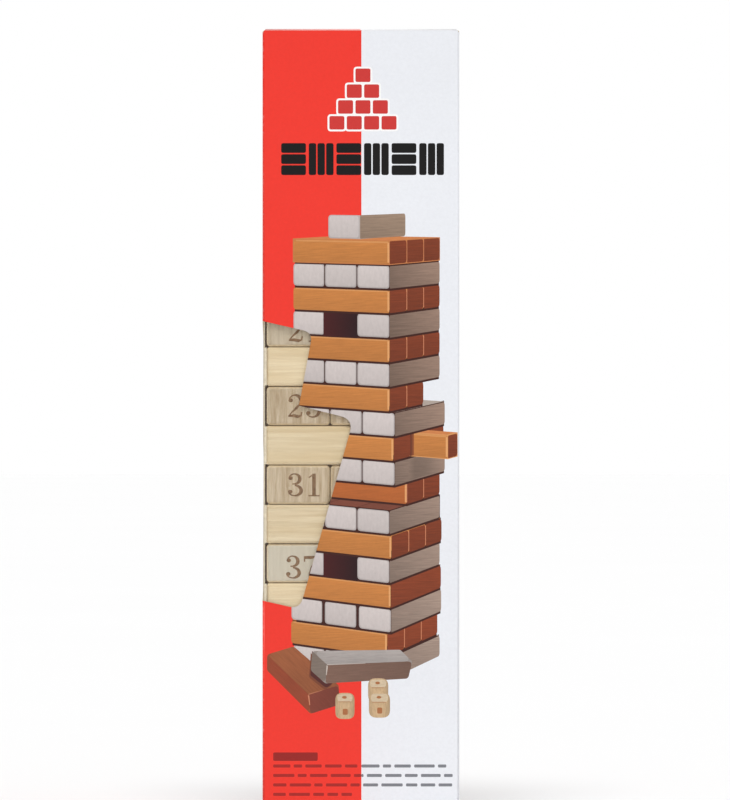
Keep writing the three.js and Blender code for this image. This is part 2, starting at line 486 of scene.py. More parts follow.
def cast_shadow(base, slide):
    """What the drawn-out block keeps the light from, on the grey side below it."""
    corner = ALONG_LEFT * slide
    inks = layer_inks(PULLED[0] + 1)
    plain = face_shade(corner, ALONG_RIGHT * LONG, base, RISE, inks["right"], inks["far"])
    start, deep, fading, end = (
        on_panel(corner + ALONG_RIGHT * a, base)[0] for a in sorted(SHADOW_SPAN + SHADOW_CORE)
    )

    def shade(point):
        if point[0] < deep:
            fall = (point[0] - start) / (deep - start)
        else:
            fall = 1 - (point[0] - fading) / (end - fading)
        return scaled(plain(point), 1 - SHADOW_DEPTH * clamped(fall))

    grain = grain_of(*SIDE_GRAIN)
    return [upright_area(corner, ALONG_RIGHT, base, span, SHADOW_RISE, shade, grain, 1.0)
            for span in (SHADOW_SPAN, SHADOW_CORE)]


def tower_hole(base, slide):
    """The dark space where a middle block was drawn out, darker towards the right."""
    corner = ALONG_LEFT * (slide + WIDE)
    edges = (on_panel(corner + step, base)[0] for step in (ALONG_LEFT * WIDE, CORNER))
    shade = gradient(0, *edges, HOLE, HOLE_DEEP)
    span = (-HOLE_OVERLAP, WIDE + HOLE_OVERLAP)
    return [upright_area(corner, ALONG_LEFT, base, span, HOLE_RISE, shade)]


def tower_core(layer, slide):
    """The dark joints round a layer's blocks, kept inside its rounded corners."""
    start = ALONG_LEFT * slide
    if (layer, 0) in MISSING:
        start = start + ALONG_RIGHT * WIDE
    reach = LONG - (WIDE if (layer, 2) in MISSING or (layer, 0) in MISSING else 0)
    low = -CORE_UNDER if layer < PRINTED_LAYERS else FOOT_HIDDEN + 1
    high = RISE + (CORE_OVER if layer > 1 else -1.0)
    base = (PRINTED_LAYERS - layer) * RISE
    return [upright_area(start, along, base, (0.0, length - CORE_SHORT), (low, high), GAP_BROWN)
            for along, length in ((ALONG_LEFT, LONG), (ALONG_RIGHT, reach))]


def tower_layer(layer):
    """One layer of the printed tower: its dark joints, then its blocks, the far ones first."""
    base, height = (PRINTED_LAYERS - layer) * RISE, RISE
    if layer == PRINTED_LAYERS:
        base, height = base + FOOT_HIDDEN, height - FOOT_HIDDEN
    slide = LAYER_SLIDE.get(layer, 0.0)
    areas = tower_core(layer, slide)
    for place in (2, 1, 0):
        if (layer, place) in MISSING:
            areas += [] if layer % 2 else tower_hole(base, slide)
        elif layer != JOINED_ENDS or place == 0:
            kind = brown_block if layer % 2 else grey_block
            if (layer, place) == PULLED:
                kind = drawn_out_block
            areas += kind(layer, place, base, height, slide, layer_inks(layer))
    if layer == PULLED[0] + 1:
        areas += cast_shadow(base, slide)
    return areas


# The block across the tower's top: its place, length and height, and its grain's seed.
LAID_PLACE = 22.5
LAID_LENGTH = LONG - 8.5
LAID_HEIGHT = RISE * 1.04
LAID_SEED = 5
# What is seen between its rounded faces, as a share of its left or right side and a rise.
LAID_BACKING = (("left", 0.85, 0.8), ("left", 0, 0.4), ("right", 0.92, 0.8),
                ("right", 0.92, LAID_HEIGHT - 0.8), ("left", 0, LAID_HEIGHT - 0.6),
                ("left", 0.85, LAID_HEIGHT - 0.8))


def block_on_top():
    """The grey block that lies across the tower's top, with a lit backing between its two faces."""
    corner = ALONG_LEFT * LAID_PLACE
    sides = {"left": ALONG_LEFT * WIDE, "right": ALONG_RIGHT * LAID_LENGTH}
    base = PRINTED_LAYERS * RISE + 0.1
    points = [on_panel(corner + sides[side] * share, base + h) for side, share, h in LAID_BACKING]
    block = printed_block(corner, sides["left"], sides["right"], base, LAID_HEIGHT, TOP_GREY,
                          LAID_SEED, False, crown=False)
    return [area(points, mixed(TOP_GREY["left"], TOP_GREY["right"], 0.4))] + block


# The two loose blocks, as corners on the panel: far left, far right, near right and near left of
# the top face, then the foot under the far left, the near left and the near right.
BROWN_CORNERS = ((1.8, 64.2), (12.2, 67.4), (29.8, 52.2), (18.0, 48.6), (1.8, 58.0), (18.8, 41.0),
                 (30.2, 44.6))
GREY_CORNERS = ((19.4, 65.6), (53.8, 66.1), (58.6, 61.6), (25.3, 60.2), (18.9, 58.0), (24.6, 52.9),
                (57.0, 54.8))


def shifted(point, dx, dy):
    return (point[0] + dx, point[1] + dy)


def loose_block(corners, inks, seed, grain_edge):
    """A block lying in front of the printed tower: top, side and end, and two worn near edges. Its
    grain runs along the edge between two of its corners."""
    far_left, far_right, near_right, near_left, foot_left, foot_near, foot_right = corners
    slope = (Vector(corners[grain_edge[1]]) - Vector(corners[grain_edge[0]])).normalized()

    def grain(point):
        along = point[0] * slope.x + point[1] * slope.y
        across = point[0] * slope.y - point[1] * slope.x
        return (along * 0.12 + seed, across * 1.9)

    def outline(steps, *rounding):
        return rounded([(*corner, radius) for corner, radius in rounding], steps)

    def tones(axis, start, end, name, first, last):
        first, last = scaled(inks[name], first), scaled(inks[name], last)
        return gradient(axis, start[axis], end[axis], first, last)

    foot = mixed(near_left, foot_near, 0.55)
    reach = mixed(near_left, near_right, 0.45)
    lit = [shifted(near_left, -0.25, -0.2), shifted(near_left, 0.3, -0.5), shifted(foot, 0.2, 0),
           shifted(foot, -0.1, 0)]
    rim = [shifted(near_left, 0, -0.15), shifted(reach, 0, -0.1), shifted(reach, 0, 0.1),
           shifted(near_left, 0, 0.25)]
    silhouette = outline(4, (far_left, 1.6), (far_right, 1.4), (near_right, 1.2), (foot_right, 1.6),
                         (foot_near, 1.4), (foot_left, 1.8))
    crown = outline(4, (far_left, 1.6), (far_right, 1.4), (near_right, 1.4), (near_left, 0.6))
    side = outline(3, (far_left, 0.6), (near_left, 0.4), (foot_near, 1.2), (foot_left, 1.8))
    end = outline(3, (near_left, 0.9), (near_right, 1.4), (foot_right, 1.6), (foot_near, 1.0))
    return [
        area(silhouette, mixed(inks["top"], inks["side"], 0.5), grain, 1.0),
        area(crown, tones(1, near_left, far_right, "top", 0.88, 1.08), grain, 1.2),
        area(side, inks["side"], grain, 1.0),
        area(end, tones(0, near_left, near_right, "end", 1.1, 0.88), grain, 1.0),
        area(rim, mixed(inks["top"], inks["edge"], 0.5)),
        area(lit, inks["edge"]),
    ]


def loose_blocks():
    """Two blocks lying in front of the printed tower, the grey one over the brown one's end."""
    far_left, _, _, near_left, foot_left, foot_near, _ = GREY_CORNERS
    shadow = [(*far_left, 0), (*near_left, 0), (*shifted(foot_near, 3.4, 0.6), 1.2),
              (*shifted(foot_near, 0.4, -1.9), 1.6), (*shifted(foot_left, -0.2, -1.9), 1.2)]
    soft = [(x - 0.5, y - 0.8, r) for x, y, r in shadow]
    penumbra = mixed(LOOSE_BROWN["top"], LOOSE_BROWN["shadow"], 0.55)
    areas = loose_block(BROWN_CORNERS, LOOSE_BROWN, 2, (0, 3))
    areas += [area(rounded(soft, 4), penumbra), area(rounded(shadow, 4), LOOSE_BROWN["shadow"])]
    return areas + loose_block(GREY_CORNERS, LOOSE_GREY, 3, (3, 2))


# Each printed die's corners on the panel and its grain's start, the furthest first.
PRINTED_DICE = (
    (41.3, 45.4, 49.2, 54.9, 1),
    (41.6, 39.5, 49.9, 49.4, 2),
    (28.5, 39.0, 36.0, 49.2, 3),
)
DIE_BODY = linear(196, 166, 128)
DIE_CROWN = linear(208, 188, 158)
DIE_SEAM = linear(178, 134, 96)
DIE_PIP = linear(170, 108, 66)


def printed_die(x0, y0, x1, y1, seed):
    """A small rounded wooden die, end grain on top, with a burnt pip on each face that shows."""
    middle = (x0 + x1) / 2
    width = x1 - x0
    crown = y1 - width * 0.46

    def shade(point):
        s = clamped((point[0] - x0) / width)
        return scaled(DIE_BODY, 0.62 + 0.5 * math.sin(math.pi * (0.16 + 0.74 * s)))

    top = rounded_box(x0 + 0.8, crown, x1 - 0.8, y1 - 0.5, width * 0.24, 4)
    upright = grain_of(0.4, 2.2, (seed, seed), upright=True)
    return [
        area(rounded_box(x0, y0, x1, y1, width * 0.36, 5), shade, upright, 1.6),
        area(top, DIE_CROWN, grain_of(0.4, 2.4, (seed, 0)), 1.2),
        box_area(x0 + 1.3, crown - 0.2, x1 - 1.6, crown + 0.15, 0.15, DIE_SEAM, 1),
        area(arc((middle - 0.2, (crown + y1) / 2), (0.95, 0.55), 0, 330, 11), DIE_PIP),
        box_area(middle - 0.9, y0 + 1.6, middle + 1.1, y0 + 4.0, 0.5, DIE_PIP),
    ]


def printed_picture():
    """The tower, its loose blocks and its dice, furthest first."""
    areas = []
    for layer in range(PRINTED_LAYERS, 0, -1):
        areas += tower_layer(layer)
    areas += block_on_top() + loose_blocks()
    for die_print in PRINTED_DICE:
        areas += printed_die(*die_print)
    return areas


# The generic mark that stands where the product word was: cells of three bars, turned by turns.
MARK_LEFT, MARK_RIGHT, MARK_LOW, MARK_HIGH = 7.3, 71.0, 251.8, 264.3
MARK_CELLS = 6
MARK_GAP = 1.1
MARK_BAR_GAP = 0.5


def crossed_bars_mark():
    """A row of black cells, each three bars laid flat or on end like the tower's layers."""
    areas = []
    pitch = (MARK_RIGHT - MARK_LEFT + MARK_GAP) / MARK_CELLS
    for cell in range(MARK_CELLS):
        x0 = MARK_LEFT + cell * pitch
        x1 = x0 + pitch - MARK_GAP
        start, end = (x0, x1) if cell % 2 else (MARK_LOW, MARK_HIGH)
        step = (end - start + MARK_BAR_GAP) / 3
        for bar in range(3):
            low, high = start + bar * step, start + (bar + 1) * step - MARK_BAR_GAP
            box = (low, MARK_LOW, high, MARK_HIGH) if cell % 2 else (x0, low, x1, high)
            areas.append(box_area(*box, 0.8, BLACK, 3))
    return areas


# The small mark that stands where the piece count was: a stepped pile of red bricks.
PILE_MIDDLE = 39.3
PILE_LOW = 269.6
PILE_ROWS = (4, 3, 2, 1)
PILE_BRICK = (5.9, 5.3)
PILE_GAP = 0.9
PILE_OUTLINE = 0.7


def brick_pile_mark():
    """Red bricks with a white line round each, in rows that step inwards as they rise."""
    outlines, bricks = [], []
    wide, high = PILE_BRICK
    for row, count in enumerate(PILE_ROWS):
        y0 = PILE_LOW + row * (high + PILE_GAP)
        start = PILE_MIDDLE - (count * (wide + PILE_GAP) - PILE_GAP) / 2
        for brick in range(count):
            x0 = start + brick * (wide + PILE_GAP)
            x1, y1, grow = x0 + wide, y0 + high, PILE_OUTLINE
            outlines.append(box_area(x0 - grow, y0 - grow, x1 + grow, y1 + grow, 1.3, WHITE, 3))
            bricks.append(box_area(x0, y0, x1, y1, 0.7, MARK_RED, 3))
    return outlines + bricks


# Small print is left as bars: line heights, where each line ends, and the bars' thickness.
SMALL_LINES = ((20.0, 74.0), (16.3, 74.4), (12.6, 74.2), (8.9, 35.0))
SMALL_LEFT = 4.2
SMALL_BAR = 1.2
SMALL_ROUND = 0.25
HEADING = (4.2, 22.6, 21.6, 25.9)
SHORTEST_BAR = 0.6
# Bars in the small print and in captions: the least length, half the spread of lengths, the gap
# after each, and the room that a line needs for one more.
SMALL_WORDS = (3.2, 2.6, 1.3, 2.5)
CAPTION_WORDS = (2.6, 2.2, 1.2, 2)
CAPTION_PITCH = 3.4


def word_bars(left, right, sizes, seed):
    """Where the bars that stand for a line's words start and end. A seed gives a bar its length."""
    least, spread, gap, room = sizes
    while left < right - room:
        width = min(least + spread * (1 + wave(seed(left))), right - left)
        yield left, left + width
        left += width + gap


def small_print():
    """Short bars in place of words: a heavier one for the heading, then four lines."""
    areas = [box_area(*HEADING, 0.5, scaled(SMALL_ON_RED, 0.8))]
    count = itertools.count(1)
    for base, right in SMALL_LINES:
        for start, end in word_bars(SMALL_LEFT, right, SMALL_WORDS, lambda x: next(count)):
            pieces = [(start, end, SMALL_ON_RED if start < SPLIT else SMALL_ON_PALE)]
            if start < SPLIT < end:
                pieces = [(start, SPLIT, SMALL_ON_RED), (SPLIT, end, SMALL_ON_PALE)]
            areas += [box_area(x0, base, x1, base + SMALL_BAR, SMALL_ROUND, ink, 1)
                      for x0, x1, ink in pieces if x1 - x0 > SHORTEST_BAR]
    return areas


# Pictures of play for the sides: a small stack in a frame, with bars for its caption.
PLAY_STEPS = 3
PLAY_FRAME = (27.0, 36.0)
PLAY_RIM = 0.9
PLAY_PITCH = 54.0
STACK_LENGTH = 15.0
STACK_ROWS = 6
STACK_GAP = 0.25
END_GAP = 0.12


def small_stack(middle, base, drawn_out, crowned):
    """A stack seen from the front, layers of one long side and of three ends by turns, with one row
    drawn out, or crowned by one more block."""
    rise, third = STACK_LENGTH / 5, STACK_LENGTH / 3
    start = middle - STACK_LENGTH / 2
    areas = []

    def long_side(x, low, ink):
        areas.append(box_area(x, low, x + STACK_LENGTH, low + rise - STACK_GAP, 0.4, ink))

    for row in range(STACK_ROWS):
        low = base + row * rise
        if row % 2:
            for x in (start, start + third, start + 2 * third):
                areas.append(box_area(x + END_GAP, low, x + third - END_GAP, low + rise - STACK_GAP,
                                      0.5, GREY["right"]))
        elif row == drawn_out:
            long_side(start, low, BROWN["right"])
            long_side(start + STACK_LENGTH * 0.42, low, BROWN["left"])
        else:
            long_side(start, low, BROWN["left"])
    if crowned:
        long_side(start + 2, base + STACK_ROWS * rise, BROWN["left"])
    return areas


def caption(left, right, top, ink):
    """Two lines of short bars in place of words, the second half as long."""
    areas = []
    for line, edge in enumerate((right, (left + right) / 2)):
        y = top - CAPTION_PITCH * line
        areas += [box_area(start, y - SMALL_BAR, end, y, SMALL_ROUND, ink, 1)
                  for start, end in word_bars(left, edge, CAPTION_WORDS, lambda x: x + line)]
    return areas


def play_pictures(middle, top, rim, ink):
    """Three steps, one below another: a stack, a block drawn out of it, and that block on top."""
    areas = []
    width, height = PLAY_FRAME
    x0, x1, line = middle - width / 2, middle + width / 2, PLAY_RIM
    for step in range(PLAY_STEPS):
        y1 = top - step * PLAY_PITCH
        y0 = y1 - height
        aside, drawn_out = (3.0, 2) if step == 1 else (0, None)
        areas.append(box_area(x0, y0, x1, y1, 3.0, rim, 5))
        areas.append(box_area(x0 + line, y0 + line, x1 - line, y1 - line, 2.3, WHITE, 5))
        areas += small_stack(middle - aside, y0 + 7, drawn_out, step == 2)
        areas += caption(x0, x1, y0 - 3, ink)
    return areas


def carried(areas, there, back):
    """The same areas elsewhere on the net: there moves a point there, and back moves it home."""

    def from_there(value):
        return (lambda point: value(back(point))) if callable(value) else value

    return [area([there(p) for p in a["points"]], from_there(a["ink"]), from_there(a["grain"]),
                 a["strength"]) for a in areas]


def moved(areas, around):
    """The same areas further round the carton."""
    return carried(areas, lambda p: (p[0] + around, p[1]), lambda p: (p[0] - around, p[1]))


def on_top(areas, rise):
    """The same areas on the top flap, which hangs from the back wall: turned half round, so that
    they read from the front, and rise further back than their own height."""
    def turn(p):
        return (-SIDE - p[0], TOP + SIDE - rise - p[1])

    return carried(areas, turn, turn)


# ---------------------------------------------------------------- net: the flat sheet and its folds

BACK, LEFT, FRONT, RIGHT = -2, -1, 0, 1
SEAM_FOLD = 2 * SIDE - BOARD - LAYER_GAP
FLAP_LEVEL = {BACK: TOP, LEFT: TOP - BOARD - LAYER_GAP, RIGHT: TOP - BOARD - LAYER_GAP}
TOP_REACH = SIDE - BOARD - 2 * LAYER_GAP
TONGUE_FOLD = TOP + TOP_REACH


def panel_of(t):
    return min(max(math.floor(t / SIDE), BACK), RIGHT)


def fold_steps(radius):
    """How far before and after a fold's middle the sheet is creased, for a round fold."""
    return [radius * (2 * i / FOLD_STEPS - 1) for i in range(FOLD_STEPS + 1)]


def fold_turn(distance, radius=FOLD):
    """How far on and how far in a right-angled fold carries a point this far past its middle."""
    angle = (distance + radius) / (2 * radius) * math.pi / 2
    return radius * math.sin(angle), radius * (1 - math.cos(angle))


def flap_profile(panel, h):
    """How far in from the panel's face, and how high, a point up the net comes to lie."""
    if panel == FRONT or h <= FLAP_LEVEL[panel] - FOLD:
        return 0.0, h
    level = FLAP_LEVEL[panel]
    if h <= level + FOLD:
        on, inward = fold_turn(h - level)
        return inward, level - FOLD + on
    if panel != BACK or h <= TONGUE_FOLD - FOLD:
        return h - level, level
    if h <= TONGUE_FOLD + FOLD:
        on, inward = fold_turn(h - TONGUE_FOLD)
        return TOP_REACH - FOLD + on, level - inward
    return TOP_REACH, level - FOLD - (h - TONGUE_FOLD - FOLD)


def folded(t, h):
    """A point of the net's printed side, on the folded carton, in millimetres."""
    panel = panel_of(t)
    u = t - panel * SIDE - HALF
    seam = SEAM_FOLD - SIDE - HALF
    x, y = u, -HALF
    if panel == RIGHT and u > seam - FOLD:
        on, inward = fold_turn(min(u - seam, FOLD))
        x, y = seam - FOLD + on, -HALF + inward + max(u - seam - FOLD, 0)
    elif abs(u) > HALF - FOLD and not (panel == BACK and u < 0):
        on, inward = fold_turn(abs(u) - HALF)
        x, y = math.copysign(HALF - FOLD + on, u), -HALF + inward
    inset, z = flap_profile(panel, h)
    return Matrix.Rotation(panel * math.pi / 2, 3, "Z") @ Vector((x, y + inset, z))


def box_points(x0, y0, x1, y1):
    return [(x0, y0), (x1, y0), (x1, y1), (x0, y1)]


def grounds():
    """The sheet itself: walls and flaps, in their ground colours."""
    side, back, front = FLAP_LEVEL[LEFT] - FOLD, TOP - FOLD, TOP - BOARD - LAYER_GAP
    split_back = SPLIT - 2 * SIDE
    edge = FOLD + CUT_EDGE_GAP
    start, end = -2 * SIDE + edge, -SIDE - edge
    tip = TONGUE_FOLD + FOLD + TONGUE
    seam_end = SEAM_FOLD + GLUE_FLAP_WIDTH
    low, high = GLUE_FLAP
    sheets = [
        (box_points(-2 * SIDE + CUT_EDGE_GAP / 2, RIM, split_back, back), PALE),
        ([(split_back, RIM), (-SIDE, RIM), (-SIDE, side), (end, back), (split_back, back)], RED),
        (box_points(-SIDE, RIM, 0, side), RED),
        ([(0, RIM), (SPLIT, RIM), (SPLIT, front), (FOLD, front), (0, side)], RED),
        ([(SPLIT, RIM), (SIDE, RIM), (SIDE, side), (SIDE - FOLD, front), (SPLIT, front)], PALE),
        (box_points(SIDE, RIM, SEAM_FOLD, side), PALE),
        ([(SEAM_FOLD, low), (seam_end, low + GLUE_FLAP_TAPER), (seam_end, high - GLUE_FLAP_TAPER),
          (SEAM_FOLD, high)], WHITE),
        (box_points(start, back, split_back, TONGUE_FOLD), PALE),
        (box_points(split_back, back, end, TONGUE_FOLD), RED),
        ([(start, TONGUE_FOLD), (end, TONGUE_FOLD), (end - TONGUE_TAPER, tip),
          (start + TONGUE_TAPER, tip)], WHITE),
    ]
    for x0, ink in ((edge - SIDE, RED), (SIDE + edge, PALE)):
        x1, top = x0 + SIDE - 2 * edge - BOARD, side + SIDE_FLAP
        flap = [(x0, side), (x1, side), (x1 - SIDE_FLAP_TAPER, top), (x0 + SIDE_FLAP_TAPER, top)]
        sheets.append((flap, ink))
    return [area(points, ink) for points, ink in sheets]


def creases():
    """Lines across the net where it bends, close enough together for a round fold."""
    lines = []
    steps = fold_steps(FOLD)
    for corner in (-SIDE, 0, SIDE, SEAM_FOLD):
        lines += [((corner + s, RIM), (corner + s, TOP)) for s in steps]
    for panel in (BACK, LEFT, RIGHT):
        x0 = panel * SIDE
        levels = [FLAP_LEVEL[panel] + s for s in steps]
        if panel == BACK:
            levels += [TONGUE_FOLD + s for s in steps]
        lines += [((x0, level), (x0 + SIDE, level)) for level in levels]
    return lines


def fold_wear(t, h):
    """How near a printed point is to an upright or top fold, from 0 to 1."""
    near = min(abs(t - c) for c in (-SIDE, 0, SIDE, SEAM_FOLD))
    panel = panel_of(t)
    if panel != FRONT:
        near = min(near, abs(h - FLAP_LEVEL[panel]))
    if panel == BACK:
        near = min(near, abs(h - TONGUE_FOLD))
    return max(0.0, 1 - near / FOLD)


# A face whose normal is this close to an axis isn't part of a fold, and is shaded flat.
FLAT_ENOUGH = 0.9999


def cut_sheet(areas, hole, lines, place, wear):
    """A mesh of the areas' union without the hole. Later areas print over earlier ones."""
    outlines = [a["points"] for a in areas]
    sheet_count = len(outlines)
    if hole:
        outlines.append(hole)
    flat, tris, owners = triangulated(outlines, lines)
    bm = bmesh.new()
    ink_layer = bm.loops.layers.float_color.new("ink")
    grain_layer = bm.loops.layers.uv.new("grain")
    # The fold_wear layer: how worn the board is near its folds, and on the film its whitened fold
    # with a painted highlight.
    strength_layer = bm.verts.layers.float.new("fold_wear")
    amount_layer = bm.faces.layers.float.new("grain_amount")
    verts = {}

    def vertex(index):
        if index not in verts:
            t, h = flat[index]
            verts[index] = bm.verts.new(Vector(place(t, h)) * MM)
            verts[index][strength_layer] = wear(t, h)
        return verts[index]

    for tri, owner in zip(tris, owners):
        printed = [i for i in owner if i < sheet_count]
        if not printed or (hole and sheet_count in owner):
            continue
        top = areas[max(printed)]
        a, b, c = (flat[i] for i in tri)
        if (b - a).cross(c - a) < 0:
            tri = tri[::-1]
        face = bm.faces.new([vertex(i) for i in tri])
        face.normal_update()
        face.smooth = max(abs(c) for c in face.normal) < FLAT_ENOUGH
        face[amount_layer] = top["strength"]
        for loop, index in zip(face.loops, tri):
            ink = top["ink"](flat[index]) if callable(top["ink"]) else top["ink"]
            loop[ink_layer] = (*ink, 1.0)
            if top["grain"]:
                loop[grain_layer].uv = top["grain"](flat[index])
    return bm


def linked(name, data):
    """A new object in the scene."""
    thing = bpy.data.objects.new(name, data)
    bpy.context.scene.collection.objects.link(thing)
    return thing


def finished(bm, name, materials, smooth=None):
    """An object from a bmesh with its materials, all smooth, all flat, or as each face says."""
    mesh = bpy.data.meshes.new(name)
    bm.to_mesh(mesh)
    bm.free()
    for material in materials:
        mesh.materials.append(material)
    if smooth is not None:
        for polygon in mesh.polygons:
            polygon.use_smooth = smooth
    return linked(name, mesh)


# ---------------------------------------------------------------- materials

# Colours of each material. A pair goes from the dark to the light parts of its grain.
CRACKED_INK = linear(246, 238, 232)
RAW_BOARD = (linear(188, 172, 146), linear(214, 202, 180))
RAW_FLECK = linear(138, 120, 94)
WOOD_SIDE = (linear(213, 194, 158), linear(243, 232, 204))
WOOD_BROAD = linear(222, 200, 156)
WOOD_PORE = linear(186, 157, 116)
WOOD_END = (linear(171, 149, 117), linear(221, 208, 184))
WOOD_SPECKLE = linear(150, 126, 94)
WOOD_PALER_END = linear(203, 201, 188)
# Each block's grain starts at a place of its own, its tone times these.
WOOD_OFFSET = (("X", 3.1), ("Y", 1.7), ("Z", 2.3))
BURNT = (linear(94, 68, 48), linear(148, 116, 88))
BURNT_GRAIN = linear(164, 136, 102)
FILM_CLEAR = (0.99, 0.99, 0.985, 1.0)
# The film's milky colour at its fold: partly whitened where creased, partly a painted highlight.
FILM_CREASE_AND_HIGHLIGHT = (0.86, 0.78, 0.61, 1.0)
# The film's faint warm colour: painted warm bounce light that browns the dark gaps behind the film.
FILM_WARM_BOUNCE = (0.9, 0.58, 0.38, 1.0)
PULP = (linear(158, 146, 126), linear(196, 186, 168))
PLY = linear(140, 128, 110)
DIE_WOOD = (linear(206, 168, 120), linear(238, 216, 178))
FLOOR_WHITE = (0.897, 0.897, 0.897)


class Nodes:
    """A material's node tree, with short calls to add and link nodes. A value that a call takes may
    be a number, a colour or another node's output."""

    def __init__(self, name):
        self.material = bpy.data.materials.new(name)
        self.material.use_nodes = True
        self.tree = self.material.node_tree
        self.tree.nodes.clear()
        self.out = self.tree.nodes.new("ShaderNodeOutputMaterial")
        self.coordinates = self.add("ShaderNodeTexCoord")
        self.place = self.coordinates.outputs["Object"]

    def add(self, kind, inputs=None, **settings):
        node = self.tree.nodes.new(kind)
        for key, value in settings.items():
            setattr(node, key, value)
        for key, value in (inputs or {}).items():
            if isinstance(value, bpy.types.NodeSocket):
                self.tree.links.new(value, node.inputs[key])
            else:
                node.inputs[key].default_value = value
        return node

    def surface(self, shader):
        self.tree.links.new(shader.outputs[0], self.out.inputs["Surface"])
        return self.material

    def principled(self, **inputs):
        """The finished material. An input's name has underscores for its spaces."""
        names = {key.replace("_", " "): value for key, value in inputs.items()}
        return self.surface(self.add("ShaderNodeBsdfPrincipled", names))

    def attribute(self, name, output="Fac", kind="GEOMETRY"):
        node = self.add("ShaderNodeAttribute", attribute_name=name, attribute_type=kind)
        return node.outputs[output]

    def stretched(self, scale):
        return self.add("ShaderNodeMapping", {"Vector": self.place, "Scale": scale}).outputs[0]

    def noise(self, scale, detail=3.0, roughness=0.5, stretch=None, at=None):
        """Noise with this many features to a metre, drawn out where stretch is under 1."""
        vector = at or (self.stretched(stretch) if stretch else self.place)
        return self.add("ShaderNodeTexNoise", {"Vector": vector, "Scale": scale, "Detail": detail,
                                               "Roughness": roughness}).outputs["Fac"]

    def math(self, operation, a, b=0.0, c=0.0):
        return self.add("ShaderNodeMath", {0: a, 1: b, 2: c}, operation=operation).outputs[0]

    def spread(self, value, to_low, to_high, low=0.3, high=0.7):
        """A value's range from low to high, spread over another range and held at its ends."""
        node = self.add("ShaderNodeMapRange", {"Value": value, "From Min": low, "From Max": high,
                                               "To Min": to_low, "To Max": to_high})
        return node.outputs["Result"]

    def mix(self, factor, a, b):
        a, b = (c if isinstance(c, bpy.types.NodeSocket) else (*c, 1.0) for c in (a, b))
        return self.add("ShaderNodeMix", {0: factor, 6: a, 7: b}, data_type="RGBA").outputs[2]

    def grained(self, grain, pair):
        return self.mix(self.spread(grain, 0.0, 1.0), *pair)

    def shaded(self, colour, factor):
        """A colour made lighter or darker by a factor."""
        node = self.add("ShaderNodeVectorMath", {0: colour, "Scale": factor}, operation="SCALE")
        return node.outputs[0]

    def bump(self, height, strength, distance, normal=None):
        inputs = {"Height": height, "Strength": strength, "Distance": distance}
        if normal:
            inputs["Normal"] = normal
        return self.add("ShaderNodeBump", inputs).outputs["Normal"]

    def shader_mix(self, factor, a, b):
        return self.add("ShaderNodeMixShader", {0: factor, 1: a.outputs[0], 2: b.outputs[0]})


def printed_board_material():
    """Coated paperboard: ink with a fine press mottle, printed wood grain, and paler worn folds."""
    n = Nodes("printed_board")
    grain_at = n.add("ShaderNodeUVMap", uv_map="grain").outputs["UV"]
    mottle = n.spread(n.noise(900.0, 4.0, 0.6), 0.975, 1.02)
    drift = n.spread(n.noise(14.0, 2.0), 0.975, 1.02)
    streaks = n.spread(n.noise(1.1, 5.0, 0.62, at=grain_at), 0.86, 1.12)
    amount = n.math("MULTIPLY", n.attribute("grain_amount"), n.math("SUBTRACT", streaks, 1.0))
    tone = n.math("MULTIPLY", n.math("MULTIPLY", mottle, drift), n.math("ADD", 1.0, amount))
    colour = n.shaded(n.attribute("ink", "Color"), tone)
    cracks = n.spread(n.noise(420.0, 5.0, 0.7), 0.0, 0.28, 0.5, 0.68)
    worn = n.mix(n.math("MULTIPLY", n.attribute("fold_wear"), cracks), colour, CRACKED_INK)
    fibre = n.bump(n.noise(2600.0, 3.0, 0.6), 0.12, 0.00004)
    normal = n.bump(n.noise(22.0, 1.0), 0.25, 0.0008, fibre)
    rough = n.spread(n.noise(300.0), 0.36, 0.48)
    return n.principled(Base_Color=worn, Roughness=rough, Normal=normal, Coat_Weight=0.12,
                        Coat_Roughness=0.25, Specular_IOR_Level=0.3)


def raw_board_material():
    """The board's unprinted side and cut edges: pale grey pulp with flecks and long fibres."""
    n = Nodes("raw_board")
    fibres = n.noise(900.0, 5.0, 0.7, (1.0, 1.0, 0.22))
    flecks = n.spread(n.noise(1500.0, 2.0), 0.0, 0.35, 0.66, 0.74)
    colour = n.mix(flecks, n.grained(fibres, RAW_BOARD), RAW_FLECK)
    return n.principled(Base_Color=colour, Roughness=0.86, Normal=n.bump(fibres, 0.35, 0.00008),
                        Specular_IOR_Level=0.25)


